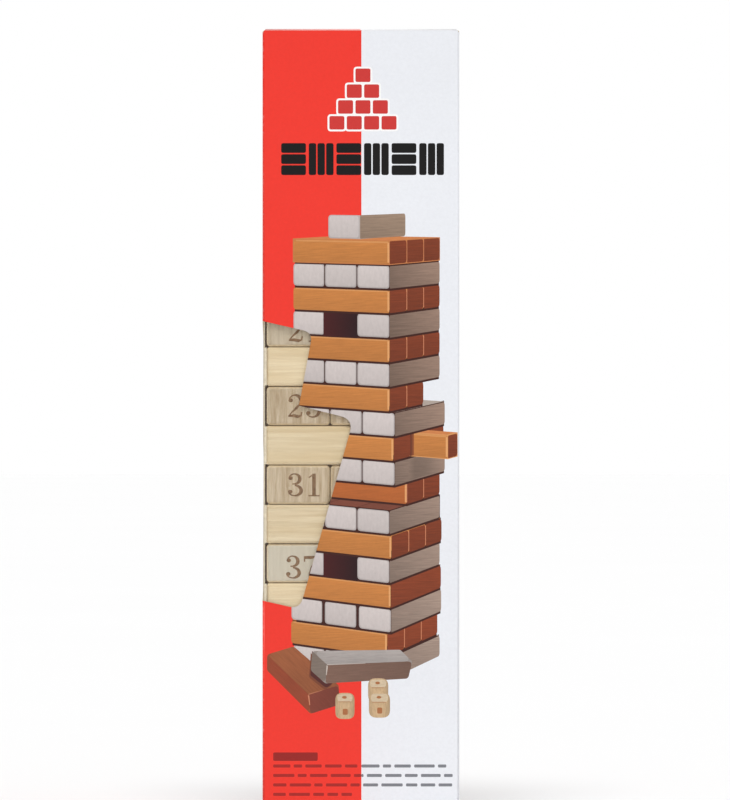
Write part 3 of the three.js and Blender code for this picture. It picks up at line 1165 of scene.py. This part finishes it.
def wood_material(name, along):
    """Pale sanded wood. along is 0 or 1 for blocks lying along X or Y: long streaks on the sides,
    close upright rings and a greyer tone on the two ends, and a tone of its own for each block."""
    n = Nodes(name)
    tone = n.attribute("tone", kind="OBJECT")
    offset = {axis: n.math("MULTIPLY", tone, by) for axis, by in WOOD_OFFSET}
    offset = n.add("ShaderNodeCombineXYZ", offset).outputs[0]
    n.place = n.add("ShaderNodeVectorMath", {0: n.place, 1: offset}, operation="ADD").outputs[0]
    across = (0.05, 1.0, 1.0) if along == 0 else (1.0, 0.05, 1.0)
    pore_shape = (0.12, 2.0, 2.0) if along == 0 else (2.0, 0.12, 2.0)
    streaks = n.noise(620.0, 6.0, 0.6, across)
    broad = n.spread(n.noise(130.0, 2.0, 0.5, across), 0.0, 0.5, 0.35, 0.65)
    pores = n.spread(n.noise(1500.0, 2.0, 0.5, pore_shape), 0.0, 1.0, 0.62, 0.72)
    side = n.mix(broad, n.grained(streaks, WOOD_SIDE), WOOD_BROAD)
    side = n.mix(n.math("MULTIPLY", pores, 0.25), side, WOOD_PORE)
    rings = n.noise(900.0, 5.0, 0.65, (1.0, 1.0, 0.08))
    speckle = n.spread(n.noise(2400.0, 2.0), 0.0, 0.4, 0.55, 0.75)
    end = n.mix(speckle, n.grained(rings, WOOD_END), WOOD_SPECKLE)
    end = n.mix(n.attribute("bleached", kind="OBJECT"), end, WOOD_PALER_END)
    normals = n.add("ShaderNodeSeparateXYZ", {0: n.coordinates.outputs["Normal"]})
    facing = n.math("ABSOLUTE", normals.outputs[along])
    colour = n.mix(n.spread(facing, 0.0, 1.0, 0.55, 0.85), side, end)
    colour = n.shaded(colour, n.spread(tone, 0.95, 1.05, 0.0, 1.0))
    height = n.math("ADD", streaks, n.math("MULTIPLY", pores, -0.6))
    return n.principled(Base_Color=colour, Roughness=n.spread(streaks, 0.5, 0.66),
                        Normal=n.bump(height, 0.3, 0.00008), Specular_IOR_Level=0.22)


def burnt_material():
    """Branded wood: brown, darker where the iron bit deeper."""
    n = Nodes("burnt_numeral")
    depth = n.noise(700.0, 4.0, 0.6)
    grain = n.spread(n.noise(900.0, 4.0, 0.5, (1.0, 1.0, 0.1)), 0.0, 0.35, 0.55, 0.7)
    colour = n.mix(grain, n.grained(depth, BURNT), BURNT_GRAIN)
    return n.principled(Base_Color=colour, Roughness=0.8, Normal=n.bump(depth, 0.4, 0.00005),
                        Specular_IOR_Level=0.15)


def film_material():
    """Thin clear plastic: it passes light almost whole and catches an uneven shine. It is milky
    along its fold, partly whitened where creased and partly a painted highlight, and a wider pale
    band of painted light lies along the fold at the side-on layers. A faint warm diffuse layer over
    all of it is painted warm bounce light that browns the dark gaps behind it."""
    n = Nodes("clear_film")
    scuff = n.spread(n.noise(500.0, 4.0), 0.06, 0.16, 0.4, 0.7)
    normal = n.bump(n.noise(60.0, 2.0, 0.5, (1.0, 1.0, 0.3)), 0.3, 0.0004)
    clear = n.add("ShaderNodeBsdfTransparent", {"Color": FILM_CLEAR})
    shine = n.add("ShaderNodeBsdfGlossy", {"Color": (1.0, 1.0, 1.0, 1.0), "Roughness": scuff,
                                           "Normal": normal})
    # Milky colour along the fold: partly a whitened fold, partly a painted highlight.
    crease_and_highlight = n.add("ShaderNodeBsdfDiffuse", {"Color": FILM_CREASE_AND_HIGHLIGHT})
    # A faint warm diffuse layer: painted warm bounce light in the gaps behind the film.
    warm_bounce = n.add("ShaderNodeBsdfDiffuse", {"Color": FILM_WARM_BOUNCE})
    facing = n.add("ShaderNodeLayerWeight", {"Blend": 0.5}).outputs["Facing"]
    glint = n.math("MULTIPLY_ADD", n.math("POWER", facing, 4.0), 0.45, 0.012)
    with_warm_bounce = n.shader_mix(0.03, n.shader_mix(glint, clear, shine), warm_bounce)
    # Where the fold_wear layer is high, mix in the milky colour: partly a whitened fold, partly a
    # painted highlight.
    crease_and_highlight_amount = n.math("MULTIPLY", n.attribute("fold_wear"), n.spread(scuff, 0.6, 0.85, 0.06, 0.16))
    return n.surface(n.shader_mix(crease_and_highlight_amount, with_warm_bounce, crease_and_highlight))


def greyboard_material():
    """Laminated greyboard under a printed paper wrap that covers the flange's upright edges."""
    n = Nodes("wrapped_greyboard")
    split = n.add("ShaderNodeSeparateXYZ", {0: n.place})
    normals = n.add("ShaderNodeSeparateXYZ", {0: n.coordinates.outputs["Normal"]})
    fibres = n.noise(800.0, 5.0, 0.7)
    plies = n.spread(n.noise(1400.0, 3.0, 0.5, (0.02, 0.02, 1.0)), 0.0, 0.4, 0.4, 0.6)
    pulp = n.mix(plies, n.grained(fibres, PULP), PLY)
    paper = n.mix(n.math("GREATER_THAN", split.outputs["X"], (SPLIT - HALF) * MM), RED, PALE)
    paper = n.shaded(paper, n.spread(fibres, 0.96, 1.03))
    low = n.math("LESS_THAN", split.outputs["Z"], (RIM - 0.1) * MM)
    upright = n.math("LESS_THAN", n.math("ABSOLUTE", normals.outputs["Z"]), 0.8)
    wrapped = n.math("MULTIPLY", low, upright)
    return n.principled(Base_Color=n.mix(wrapped, pulp, paper), Normal=n.bump(fibres, 0.3, 0.0001),
                        Roughness=n.spread(wrapped, 0.9, 0.45, 0.0, 1.0))


def die_material():
    """Waxed pale wood, with rings running through all six faces."""
    n = Nodes("die_wood")
    rings = n.noise(500.0, 5.0, 0.6, (1.0, 0.08, 1.0))
    return n.principled(Base_Color=n.grained(rings, DIE_WOOD), Roughness=n.spread(rings, 0.4, 0.55),
                        Normal=n.bump(rings, 0.25, 0.00008), Coat_Weight=0.1)


def floor_material():
    """A matt white sheet with a very faint unevenness."""
    n = Nodes("studio_floor")
    tone = n.spread(n.noise(3.0, 2.0), 0.995, 1.0)
    colour = n.shaded(FLOOR_WHITE, tone)
    return n.principled(Base_Color=colour, Roughness=0.9, Specular_IOR_Level=0.1)


# ---------------------------------------------------------------- pieces

def thicken(sheet, thickness):
    """Gives a folded sheet its thickness, inwards from its outer face."""
    thick = sheet.modifiers.new("thickness", "SOLIDIFY")
    thick.thickness = thickness * MM
    thick.offset = -1.0
    return thick


# Where the play pictures' middle and top are on the two sides, and how far up the top its mark is.
PLAY_LEFT = (-52.0, 272.0)
PLAY_RIGHT = (SIDE + 38.0, 240.0)
LID_MARK = 44.0


def carton():
    """The cover: one printed sheet, cut, folded, and given its thickness inwards."""
    mark = crossed_bars_mark()
    picture = printed_picture() + mark + brick_pile_mark()
    left = play_pictures(*PLAY_LEFT, WHITE, SMALL_ON_RED)
    right = play_pictures(*PLAY_RIGHT, RED, SMALL_ON_PALE) + moved(mark, SIDE)
    lid = on_top(mark, LID_MARK - MARK_LOW) + on_top(small_print(), 0)
    areas = grounds() + picture + small_print() + moved(picture, -2 * SIDE) + left + right + lid
    bm = cut_sheet(areas, rounded(WINDOW, 8), creases(), folded, fold_wear)
    cover = finished(bm, "folded_carton", [printed_board_material(), raw_board_material()])
    thick = thicken(cover, BOARD)
    thick.material_offset = 1
    thick.material_offset_rim = 1
    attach(cover, "cover")
    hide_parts("carton_cover")


# The film's thickness, its corners' radius and its fold's radius. At the side-on layers a pale band
# of painted light reaches this far either side of the fold, fades over its last stretch, and starts
# a step within a block's height.
FILM_THICKNESS = 0.15
FILM_CORNER = 3.0
FILM_FOLD = 0.5
FILM_BAND = 1.15
FILM_BAND_FADE = 0.25
FILM_BAND_STEP = 0.3


def film():
    """The window's film: one sheet folded round the carton's corner behind the opening and creased
    along the fold, milky there, partly whitened and partly a painted highlight. At the layers whose
    blocks lie side on, a wider pale band of painted light lies along the fold."""
    low, high = box_mm("window_film")
    reach = -low.x
    outline = rounded_box(-(high.y + reach), low.z, high.x + reach, high.z, FILM_CORNER, 5)

    def place(t, h):
        if abs(t) >= FILM_FOLD:
            return (-reach + max(t, 0), -reach - min(t, 0), h)
        on, inward = fold_turn(t, FILM_FOLD)
        return (-reach + inward, -reach + FILM_FOLD - on, h)

    # The heights of the layers whose blocks lie side on: the film's pale band of painted light runs
    # across these.
    boxes = [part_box(name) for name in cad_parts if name.startswith("block_")]
    side_on_spans = {(round(b.z / MM, 2), round(t.z / MM, 2)) for b, t in boxes if t.x - b.x > t.y - b.y}

    # Painted highlight: full across the band at the side-on layers; elsewhere fading from the fold,
    # where it is partly a whitened fold.
    def wear(t, h):
        margin = FILM_BAND_STEP / 2
        if any(bottom + margin < h < top - margin for bottom, top in side_on_spans):
            return clamped((FILM_BAND - abs(t)) / FILM_BAND_FADE)
        return max(0.0, 1 - abs(t) / FILM_FOLD)

    steps = fold_steps(FILM_FOLD)
    steps += [-FILM_BAND, FILM_BAND_FADE - FILM_BAND, FILM_BAND - FILM_BAND_FADE, FILM_BAND]
    lines = [((step, low.z), (step, high.z)) for step in steps]
    for bottom, top in sorted(side_on_spans):
        for h in (bottom, bottom + FILM_BAND_STEP, top - FILM_BAND_STEP, top):
            if low.z < h < high.z:
                lines.append(((-FILM_BAND, h), (FILM_BAND, h)))
    bm = cut_sheet([area(outline, WHITE)], None, lines, place, wear)
    sheet = finished(bm, "folded_film", [film_material()])
    thicken(sheet, FILM_THICKNESS)
    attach(sheet, "cover")
    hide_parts("window_film")


# Numerals are built in a cell one unit tall: strokes as (points, widths), each point with a width.
NUMERAL_HEIGHT = 9.2
NUMERAL_WIDE = 1.14
NUMERAL_ADVANCE = 7.1
NUMERAL_SHIFT = 2.7
NUMERAL_RAISED = 0.02
# Blocks that differ: how far a number is stamped off its place, and how much paler and greyer
# its ends are.
STAMPED_OFF = {37: (-0.75, -1.4), 21: (0.2, -1.1)}
PALER_ENDS = {37: 0.75, 21: 0.3}
THIN = 0.055
THICK = 0.135


def swelling(points, high=THICK, start=0.0, end=1.0):
    """A bowl's stroke, swelling in the middle of a stretch of it and thin at both ends."""
    count = len(points) - 1
    along = [clamped((i / count - start) / (end - start)) for i in range(count + 1)]
    return points, [THIN + (high - THIN) * math.sin(math.pi * s) for s in along]


def ring(centre, radii, steps=12):
    """A round stroke's right and left halves, each swelling in its middle."""
    return [swelling(arc(centre, radii, start, start + 180, steps)) for start in (-90, 90)]


def thin(*points):
    return points, [THIN] * len(points)


def stem(x):
    return ((x, 0.03), (x, 0.97)), [THICK] * 2


def ball(x, y):
    return arc((x, y), (0.085, 0.085), 0, 330, 11)


def turned_round(points):
    return [(0.6 - x, 1 - y) for x, y in points]


# Each digit's strokes and dots: a serif figure with round ends, drawn from arcs and bars.
TWO_TOP = arc((0.3, 0.72), (0.22, 0.245), 160, -30, 14)
SIX_RIGHT, SIX_LEFT = ring((0.3, 0.29), (0.22, 0.25))
DIGITS = {
    0: (ring((0.3, 0.5), (0.22, 0.46), steps=14), []),
    1: ([stem(0.33), thin((0.12, 0.03), (0.54, 0.03)), thin((0.33, 0.95), (0.14, 0.8))], []),
    2: ([
        swelling(TWO_TOP, start=0.3),
        ((TWO_TOP[-1], (0.36, 0.42), (0.17, 0.22), (0.06, 0.05)), [THIN, THICK * 0.8, THIN, THIN]),
        (((0.05, 0.07), (0.25, 0.09), (0.42, 0.05), (0.52, 0.08)), [THIN, THICK, THICK, THIN]),
        thin((0.52, 0.06), (0.555, 0.24)),
    ], [ball(0.14, 0.74)]),
    3: ([
        swelling(arc((0.28, 0.745), (0.2, 0.215), 155, -90, 14), start=0.3),
        swelling(arc((0.29, 0.25), (0.24, 0.22), 450, 205, 16), end=0.75),
        thin((0.2, 0.53), (0.3, 0.53)),
    ], [ball(0.14, 0.78), ball(0.12, 0.2)]),
    4: ([
        stem(0.41),
        thin((0.41, 0.97), (0.03, 0.3)),
        thin((0.02, 0.28), (0.6, 0.28)),
        thin((0.24, 0.03), (0.58, 0.03)),
    ], []),
    5: ([
        swelling(arc((0.28, 0.31), (0.25, 0.28), 125, -155, 18), end=0.8),
        thin((0.13, 0.5), (0.13, 0.95)),
        (((0.12, 0.9), (0.34, 0.89), (0.52, 0.96)), [THIN, THICK, THIN]),
    ], [ball(0.12, 0.2)]),
    6: ([
        SIX_RIGHT,
        swelling(arc((0.42, 0.42), (0.34, 0.53), 95, 222, 16), end=1.15),
        swelling(SIX_LEFT[0], THICK * 0.8),
    ], [ball(0.46, 0.83)]),
    7: ([
        (((0.06, 0.9), (0.3, 0.9), (0.56, 0.95)), [THICK * 0.9, THICK, THIN]),
        thin((0.05, 0.96), (0.05, 0.72)),
        (((0.55, 0.93), (0.34, 0.5), (0.27, 0.2), (0.27, 0.04)),
         [THIN, THICK * 0.8, THICK, THICK]),
    ], []),
    8: (ring((0.3, 0.745), (0.18, 0.21)) + ring((0.3, 0.27), (0.23, 0.24)), []),
}


def digit_parts(digit):
    """A digit's strokes and dots. Nine is six turned round."""
    if digit != 9:
        return DIGITS[digit]
    strokes, dots = DIGITS[6]
    turned = [(turned_round(points), widths) for points, widths in strokes]
    return turned, [turned_round(dot) for dot in dots]


def stroke_quads(points, widths):
    """A stroke as quads that share their edges, square at both ends."""
    sides = []
    for i, (x, y) in enumerate(points):
        before = Vector(points[max(i - 1, 0)])
        after = Vector(points[min(i + 1, len(points) - 1)])
        ahead = (after - before).normalized()
        across = Vector((-ahead.y, ahead.x)) * widths[i] / 2
        sides.append((Vector((x, y)) + across, Vector((x, y)) - across))
    return [[a[0], a[1], b[1], b[0]] for a, b in zip(sides, sides[1:])]


def digit_outline(digit):
    """A digit's flat triangles in its cell, its overlapping strokes joined."""
    strokes, dots = digit_parts(digit)
    loops = [quad for points, widths in strokes for quad in stroke_quads(points, widths)] + dots
    flat, tris, owners = triangulated(loops)
    return [[tuple(flat[i]) for i in tri] for tri, owner in zip(tris, owners) if owner]


def block_numbers(number, along, outlines, material):
    """A block's number, branded on both of its ends."""
    name = f"block_{number:02d}"
    low, high = box_mm(name)
    middle = (low + high) / 2
    text = str(number)
    aside, up = STAMPED_OFF.get(number, (0, 0))
    bm = bmesh.new()
    for end in (-1, 1):
        turn = Matrix.Rotation({(1, -1): 0, (1, 1): math.pi, (0, 1): math.pi / 2,
                                (0, -1): -math.pi / 2}[along, end], 3, "Z")
        reach = (high - low)[along] / 2 + NUMERAL_RAISED
        for place, digit in enumerate(text):
            start = NUMERAL_SHIFT + aside + (place - len(text) / 2) * NUMERAL_ADVANCE
            verts = {}
            for tri in outlines[int(digit)]:
                corners = []
                for x, y in tri:
                    if (x, y) not in verts:
                        flat = Vector((start + x * NUMERAL_HEIGHT * NUMERAL_WIDE, -reach,
                                       (y - 0.5) * NUMERAL_HEIGHT + up))
                        verts[x, y] = bm.verts.new((middle + turn @ flat) * MM)
                    corners.append(verts[x, y])
                face = bm.faces.new(corners)
                face.normal_update()
                if face.normal.dot(turn @ Vector((0, -1, 0))) < 0:
                    face.normal_flip()
    numbers = finished(bm, f"number_{number:02d}", [material], smooth=False)
    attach(numbers, name)


# How far the edges of the blocks and of the base are eased, and the least corner that is.
BLOCK_EASE = 0.3
BASE_EASE = 0.35
EASED_ANGLE = math.radians(25.0)


def soften(thing, width):
    """Rounds a CAD node's edges without touching its mesh."""
    thing.modifiers.new("weld", "WELD").merge_threshold = 0.00001
    bevel = thing.modifiers.new("eased_edges", "BEVEL")
    bevel.width = width * MM
    bevel.segments = 2
    bevel.limit_method = "ANGLE"
    bevel.angle_limit = EASED_ANGLE
    thing.modifiers.new("even_normals", "WEIGHTED_NORMAL")


def repaint(thing, material):
    """Gives a CAD node one new material."""
    thing.data.materials.clear()
    thing.data.materials.append(material)


def blocks():
    """All fifty-four blocks: CAD nodes with eased edges and wood, and their branded numbers."""
    woods = [wood_material("wood_along_x", 0), wood_material("wood_along_y", 1)]
    burnt = burnt_material()
    outlines = [digit_outline(digit) for digit in range(10)]
    names = sorted(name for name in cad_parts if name.startswith("block_"))
    for name in names:
        number = int(name.split("_")[1])
        low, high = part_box(name)
        along = 0 if high.x - low.x > high.y - low.y else 1
        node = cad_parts[name]
        node["tone"] = 0.5 + 0.5 * wave(number)
        node["bleached"] = PALER_ENDS.get(number, 0.0)
        repaint(node, woods[along])
        soften(node, BLOCK_EASE)
        block_numbers(number, along, outlines, burnt)


PIPS = {
    1: [(0, 0)],
    2: [(-1, 1), (1, -1)],
    3: [(-1, 1), (0, 0), (1, -1)],
    4: [(-1, -1), (-1, 1), (1, -1), (1, 1)],
    5: [(-1, -1), (-1, 1), (0, 0), (1, -1), (1, 1)],
    6: [(-1, -1), (-1, 0), (-1, 1), (1, -1), (1, 0), (1, 1)],
}
PIP_PITCH = 3.3
# A pip's rings, as radius and depth: a collar level with the face, the rim, and the bowl.
PIP_RINGS = ((1.25, 0.0), (1.15, 0.0), (0.98, 0.24), (0.55, 0.4))
DIE_SIDE = 14.0
DIE_ROUND = 2.4
# How each die is turned, in degrees, as in the part. Then its face values: up, round it, and down.
DIE_TURNS = {"die_1": 8, "die_2": -14, "die_3": 21}
DIE_FACES = {
    "die_1": (5, 2, 3, 4, 1, 6),
    "die_2": (3, 2, 6, 5, 1, 4),
    "die_3": (6, 4, 5, 3, 2, 1),
}


def die_face(bm, value, turn):
    """One flat face of a die, with a burnt dimple for each of its pips."""
    half = DIE_SIDE / 2 - DIE_ROUND
    places = [(x * PIP_PITCH, y * PIP_PITCH) for x, y in PIPS[value]]

    def corner(point, depth):
        return bm.verts.new(turn @ Vector((*point, DIE_SIDE / 2 - depth)))

    def circle(place, radius):
        return arc(place, (radius, radius), 0, 337.5, 15)

    collars = [circle(place, PIP_RINGS[0][0]) for place in places]
    flat, tris, owners = triangulated([box_points(-half, -half, half, half)] + collars)
    level = [corner(point, 0) for point in flat]
    for tri, owner in zip(tris, owners):
        if len(owner) == 1:
            bm.faces.new([level[i] for i in tri])
    for place in places:
        rings = [[corner(point, depth) for point in circle(place, radius)]
                 for radius, depth in PIP_RINGS]
        for outer, inner in zip(rings, rings[1:]):
            for i in range(len(outer)):
                side = bm.faces.new((outer[i - 1], outer[i], inner[i], inner[i - 1]))
                side.material_index = 0 if outer is rings[0] else 1
        bm.faces.new(rings[-1]).material_index = 1


def die(name, materials):
    """A rounded wooden cube with burnt pips sunk into its six faces."""
    low, high = box_mm(name)
    middle = (low + high) / 2
    turn = Matrix.Rotation(math.radians(DIE_TURNS[name]), 4, "Z")
    bm = bmesh.new()
    bmesh.ops.create_cube(bm, size=DIE_SIDE)
    bmesh.ops.bevel(bm, geom=bm.edges[:], offset=DIE_ROUND, segments=5, profile=0.5, affect="EDGES")
    widest = sorted(bm.faces, key=lambda face: face.calc_area())[-6:]
    bmesh.ops.delete(bm, geom=widest, context="FACES_ONLY")
    facing = [Matrix.Identity(3)] + [
        Matrix.Rotation(quarter * math.pi / 2, 3, "Z") @ Matrix.Rotation(math.pi / 2, 3, "X")
        for quarter in range(4)
    ] + [Matrix.Rotation(math.pi, 3, "X")]
    for value, matrix in zip(DIE_FACES[name], facing):
        die_face(bm, value, matrix)
    bmesh.ops.remove_doubles(bm, verts=bm.verts[:], dist=0.001)
    bmesh.ops.recalc_face_normals(bm, faces=bm.faces[:])
    there = Matrix.Scale(MM, 4) @ Matrix.Translation(middle) @ turn
    bmesh.ops.transform(bm, matrix=there, verts=bm.verts)
    cube = finished(bm, f"wooden_{name}", materials, smooth=True)
    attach(cube, name)
    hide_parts(name)


# The floor's half width and how far it lies under the part, in metres.
FLOOR_HALF = 12.0
FLOOR_DROP = 0.0002
# The room's brightness as light, as seen in a reflection, and as the camera sees it.
ROOM_LIGHT = 0.61
ROOM_GLOSS = 0.35
CAMERA_WHITE = 1.0
# Each sun: its turn to the right of the front and its rise, its softness, and its power.
SUNS = (
    ("key", (-2, 62), 26, 1.58),
    ("back", (150, 46), 60, 0.36),
)


def studio():
    """A white floor, an even white room that reflects more faintly than it lights, and two suns."""
    bm = bmesh.new()
    bmesh.ops.create_grid(bm, x_segments=8, y_segments=8, size=FLOOR_HALF)
    floor = finished(bm, "studio_floor", [floor_material()], smooth=False)
    floor.location.z = -FLOOR_DROP
    world = bpy.data.worlds.new("studio")
    bpy.context.scene.world = world
    world.use_nodes = True
    tree = world.node_tree
    background = tree.nodes["Background"]
    background.inputs["Color"].default_value = (1.0, 1.0, 1.0, 1.0)
    path = tree.nodes.new("ShaderNodeLightPath")
    target = background.inputs["Strength"]
    for ray, level in (("Is Glossy Ray", ROOM_GLOSS), ("Is Camera Ray", CAMERA_WHITE)):
        step = tree.nodes.new("ShaderNodeMath")
        step.operation = "MULTIPLY_ADD"
        tree.links.new(path.outputs[ray], step.inputs[0])
        step.inputs[1].default_value = level - ROOM_LIGHT
        tree.links.new(step.outputs[0], target)
        target = step.inputs[2]
    target.default_value = ROOM_LIGHT
    for name, angles, softness, power in SUNS:
        sun = linked(name, bpy.data.lights.new(name, "SUN"))
        sun.data.angle = math.radians(softness)
        sun.data.energy = power
        turn, rise = (math.radians(a) for a in angles)
        level = math.cos(rise)
        toward = Vector((math.sin(turn) * level, -math.cos(turn) * level, math.sin(rise)))
        sun.rotation_euler = toward.to_track_quat("Z", "Y").to_euler()


# The camera looks straight at the front from far off, and frames what the photograph frames: the
# carton's top near the frame's top, and its foot just under the frame's bottom.
CAMERA_DISTANCE = 2.6
FRAME_HEIGHT = 0.313
FRAME_MIDDLE = (0.0016, 0.1638)
SENSOR = 24.0


def camera():
    data = bpy.data.cameras.new("camera")
    data.sensor_fit = "VERTICAL"
    data.sensor_height = SENSOR
    data.lens = SENSOR * CAMERA_DISTANCE / FRAME_HEIGHT
    data.clip_end = 60.0
    eye = linked("camera", data)
    eye.location = (FRAME_MIDDLE[0], -HALF * MM - CAMERA_DISTANCE, FRAME_MIDDLE[1])
    eye.rotation_euler = (math.pi / 2, 0, 0)
    bpy.context.scene.camera = eye


camera()
studio()
bpy.context.scene.view_settings.view_transform = "Standard"
carton()
blocks()
film()
repaint(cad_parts["base_plinth"], greyboard_material())
soften(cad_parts["base_plinth"], BASE_EASE)
die_look = [die_material(), burnt_material()]
for die_name in DIE_TURNS:
    die(die_name, die_look)
